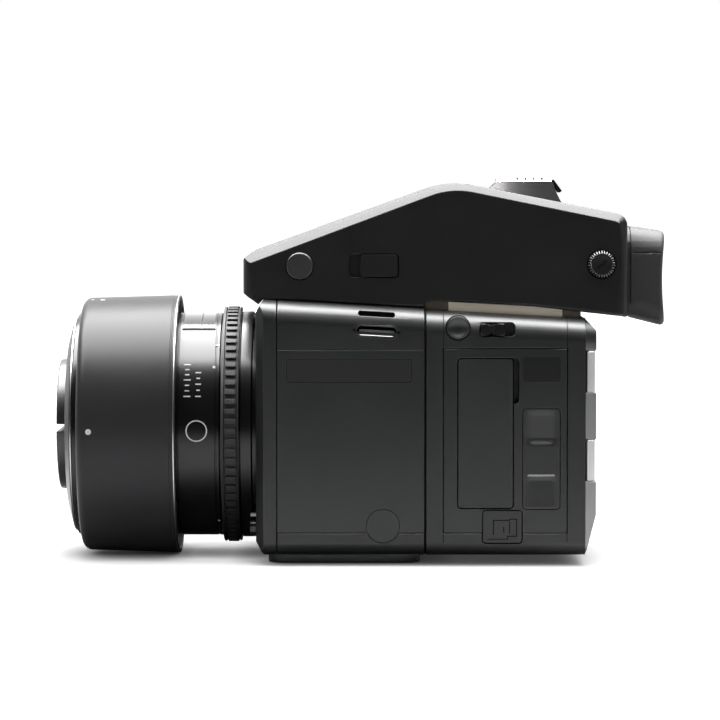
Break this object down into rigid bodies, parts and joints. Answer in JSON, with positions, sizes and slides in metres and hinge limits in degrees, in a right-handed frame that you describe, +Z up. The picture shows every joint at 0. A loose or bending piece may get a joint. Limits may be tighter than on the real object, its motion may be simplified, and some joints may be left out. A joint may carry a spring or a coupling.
{
  "type": "medium format digital camera",
  "caption": "Medium format reflex camera with prism finder, digital back, right-hand grip and a lens with reversed hood and cap.",
  "frame": {"origin": "mouth of the larger tripod socket, in the plane of the base", "axes": "+X from the lens towards the screen, +Y from the left side towards the grip, +Z up"},
  "size_m": [0.2102, 0.1456, 0.1317],
  "materials": {
    "body_paint": "cast alloy with fine satin black paint",
    "finder_paint": "cast alloy with matte fine-textured black paint",
    "chassis_metal": "dark anodised",
    "bright_metal": "turned satin",
    "mirror_coat": "front-silvered",
    "ground_screen": "ground",
    "shutter_black": "matte black paint",
    "grip_plastic": "satin moulded",
    "black_rubber": "matte",
    "battery_plastic": "satin moulded",
    "display_glass": "polished",
    "control_black": "satin moulded",
    "silver_key": "bead-blasted",
    "lens_black": "satin black anodised",
    "hood_black": "matte moulded",
    "optical_glass": "coated",
    "sensor_glass": "coated",
    "circuit_board": "solder mask",
    "bezel_grey": "satin grey",
    "shoe_metal": "satin"
  },
  "bodies": {
    "camera": {"front_plate": "body_paint", "left_cover": "body_paint", "top_cover": "body_paint", "bottom_cover": "body_paint", "back_housing": "body_paint", "back_panel": "body_paint", "finder_housing": "finder_paint", "side_cap": "finder_paint", "mirror_box": "chassis_metal", "tripod_plate": "chassis_metal", "screws": "bright_metal", "mount_ring": "bright_metal", "lens_bayonet": "bright_metal", "focusing_screen": "ground_screen", "shutter_frame": "shutter_black", "grip_shell": "grip_plastic", "grip_rubber": "black_rubber", "eyecup": "black_rubber", "grip_battery": "battery_plastic", "top_display": "display_glass", "screen_glass": "display_glass", "side_plug": "control_black", "lens_barrel": "lens_black", "rear_glass": "optical_glass", "prism_glass": "optical_glass", "sensor": "sensor_glass", "sensor_board": "circuit_board", "back_bezel": "bezel_grey", "accessory_shoe": "shoe_metal"},
    "lens_release": {"lens_release": "bright_metal"},
    "mirror": {"mirror_carrier": "shutter_black", "mirror_glass": "mirror_coat"},
    "shutter_blade_high": {"shutter_blade_high": "shutter_black"},
    "shutter_blade_mid": {"shutter_blade_mid": "shutter_black"},
    "shutter_blade_low": {"shutter_blade_low": "shutter_black"},
    "grip_door": {"grip_door": "grip_plastic"},
    "shutter_button": {"shutter_button": "silver_key"},
    "power_collar": {"power_collar": "control_black"},
    "front_dial": {"front_dial": "control_black"},
    "rear_dial": {"rear_dial": "control_black"},
    "focus_ring": {"focus_ring": "lens_black", "focus_rubber": "black_rubber"},
    "front_cell": {"front_cell": "lens_black", "front_glass": "optical_glass"},
    "hood": {"hood": "hood_black"},
    "lens_cap": {"lens_cap": "hood_black"},
    "cap_tab_upper": {"cap_tab_upper": "hood_black"},
    "cap_tab_lower": {"cap_tab_lower": "hood_black"},
    "finder_latch": {"finder_latch": "finder_paint"},
    "diopter_knob": {"diopter_knob": "control_black"},
    "eyepiece_lens": {"eyepiece_lens": "optical_glass"},
    "back_battery": {"back_battery": "battery_plastic"},
    "card_door": {"card_door": "control_black"},
    "port_flap": {"port_flap": "control_black"},
    "lock_button": {"lock_button": "control_black"},
    "release_slide": {"release_slide": "control_black"},
    "key_upper_left": {"key_upper_left": "silver_key"},
    "key_lower_left": {"key_lower_left": "silver_key"},
    "key_upper_right": {"key_upper_right": "silver_key"},
    "key_lower_right": {"key_lower_right": "silver_key"}
  },
  "joints": [
    {"name": "lens_release_slide", "type": "slide", "parent": "camera", "child": "lens_release", "axis": [1, 0, 0], "range_m": [0, 0.001], "stiffness_N_per_m": 1000},
    {"name": "mirror_turn", "type": "hinge", "parent": "camera", "child": "mirror", "pos_m": [0.018, 0, 0.0685], "axis": [0, 1, 0], "range_deg": [0, 45]},
    {"name": "shutter_blade_high_slide", "type": "slide", "parent": "camera", "child": "shutter_blade_high", "axis": [0, 0, -1], "range_m": [0, 0.0426]},
    {"name": "shutter_blade_mid_slide", "type": "slide", "parent": "camera", "child": "shutter_blade_mid", "axis": [0, 0, -1], "range_m": [0, 0.0286]},
    {"name": "shutter_blade_low_slide", "type": "slide", "parent": "camera", "child": "shutter_blade_low", "axis": [0, 0, -1], "range_m": [0, 0.0146]},
    {"name": "grip_door_turn", "type": "hinge", "parent": "camera", "child": "grip_door", "pos_m": [0.0073, 0.08, 0.0035], "axis": [0, -1, 0], "range_deg": [0, 85]},
    {"name": "shutter_button_slide", "type": "slide", "parent": "camera", "child": "shutter_button", "axis": [0, 0, -1], "range_m": [0, 0.001], "stiffness_N_per_m": 800},
    {"name": "power_collar_turn", "type": "hinge", "parent": "camera", "child": "power_collar", "pos_m": [-0.033, 0.08, 0.0803], "axis": [0, 0, 1], "range_deg": [0, 40]},
    {"name": "front_dial_turn", "type": "hinge", "parent": "camera", "child": "front_dial", "pos_m": [-0.039, 0.08, 0.064], "axis": [0, 1, 0], "continuous": true},
    {"name": "rear_dial_turn", "type": "hinge", "parent": "camera", "child": "rear_dial", "pos_m": [0.005, 0.078, 0.07], "axis": [0, 1, 0], "continuous": true},
    {"name": "focus_ring_turn", "type": "hinge", "parent": "camera", "child": "focus_ring", "pos_m": [-0.039, 0, 0.0455], "axis": [1, 0, 0], "range_deg": [0, 110]},
    {"name": "front_cell_slide", "type": "slide", "parent": "camera", "child": "front_cell", "axis": [-1, 0, 0], "range_m": [0, 0.005]},
    {"name": "hood_turn", "type": "hinge", "parent": "camera", "child": "hood", "pos_m": [-0.0745, 0, 0.0455], "axis": [1, 0, 0], "range_deg": [0, 60]},
    {"name": "lens_cap_slide", "type": "slide", "parent": "camera", "child": "lens_cap", "axis": [-1, 0, 0], "range_m": [0, 0.012]},
    {"name": "cap_tab_upper_slide", "type": "slide", "parent": "lens_cap", "child": "cap_tab_upper", "axis": [0, 0, -1], "range_m": [0, 0.001], "stiffness_N_per_m": 800},
    {"name": "cap_tab_lower_slide", "type": "slide", "parent": "lens_cap", "child": "cap_tab_lower", "axis": [0, 0, 1], "range_m": [0, 0.001], "stiffness_N_per_m": 800},
    {"name": "finder_latch_slide", "type": "slide", "parent": "camera", "child": "finder_latch", "axis": [-1, 0, 0], "range_m": [0, 0.0036]},
    {"name": "diopter_knob_turn", "type": "hinge", "parent": "camera", "child": "diopter_knob", "pos_m": [0.0877, -0.0395, 0.1024], "axis": [0, 1, 0], "range_deg": [-60, 60]},
    {"name": "eyepiece_lens_slide", "type": "slide", "parent": "camera", "child": "eyepiece_lens", "axis": [1, 0, 0], "range_m": [-0.0015, 0.0015]},
    {"name": "back_battery_slide", "type": "slide", "parent": "camera", "child": "back_battery", "axis": [0, -1, 0], "range_m": [0, 0.03]},
    {"name": "card_door_turn", "type": "hinge", "parent": "camera", "child": "card_door", "pos_m": [0.0732, -0.046, 0.0366], "axis": [0, 0, 1], "range_deg": [0, 100]},
    {"name": "port_flap_turn", "type": "hinge", "parent": "camera", "child": "port_flap", "pos_m": [0.0538, -0.046, 0.0079], "axis": [1, 0, 0], "range_deg": [0, 100]},
    {"name": "lock_button_slide", "type": "slide", "parent": "camera", "child": "lock_button", "axis": [0, 1, 0], "range_m": [0, 0.001], "stiffness_N_per_m": 800},
    {"name": "release_slide_slide", "type": "slide", "parent": "camera", "child": "release_slide", "axis": [1, 0, 0], "range_m": [0, 0.0032]},
    {"name": "key_upper_left_slide", "type": "slide", "parent": "camera", "child": "key_upper_left", "axis": [-1, 0, 0], "range_m": [0, 0.0005], "stiffness_N_per_m": 1000},
    {"name": "key_lower_left_slide", "type": "slide", "parent": "camera", "child": "key_lower_left", "axis": [-1, 0, 0], "range_m": [0, 0.0005], "stiffness_N_per_m": 1000},
    {"name": "key_upper_right_slide", "type": "slide", "parent": "camera", "child": "key_upper_right", "axis": [-1, 0, 0], "range_m": [0, 0.0005], "stiffness_N_per_m": 1000},
    {"name": "key_lower_right_slide", "type": "slide", "parent": "camera", "child": "key_lower_right", "axis": [-1, 0, 0], "range_m": [0, 0.0005], "stiffness_N_per_m": 1000}
  ],
  "couplings": [
    {"joint": "shutter_blade_mid_slide", "follows": "shutter_blade_high_slide", "ratio": 0.67136},
    {"joint": "shutter_blade_low_slide", "follows": "shutter_blade_high_slide", "ratio": 0.34272},
    {"joint": "front_cell_slide", "follows": "focus_ring_turn", "m_per_rad": 0.002604},
    {"joint": "diopter_knob_turn", "follows": "eyepiece_lens_slide", "rad_per_m": 698}
  ]
}
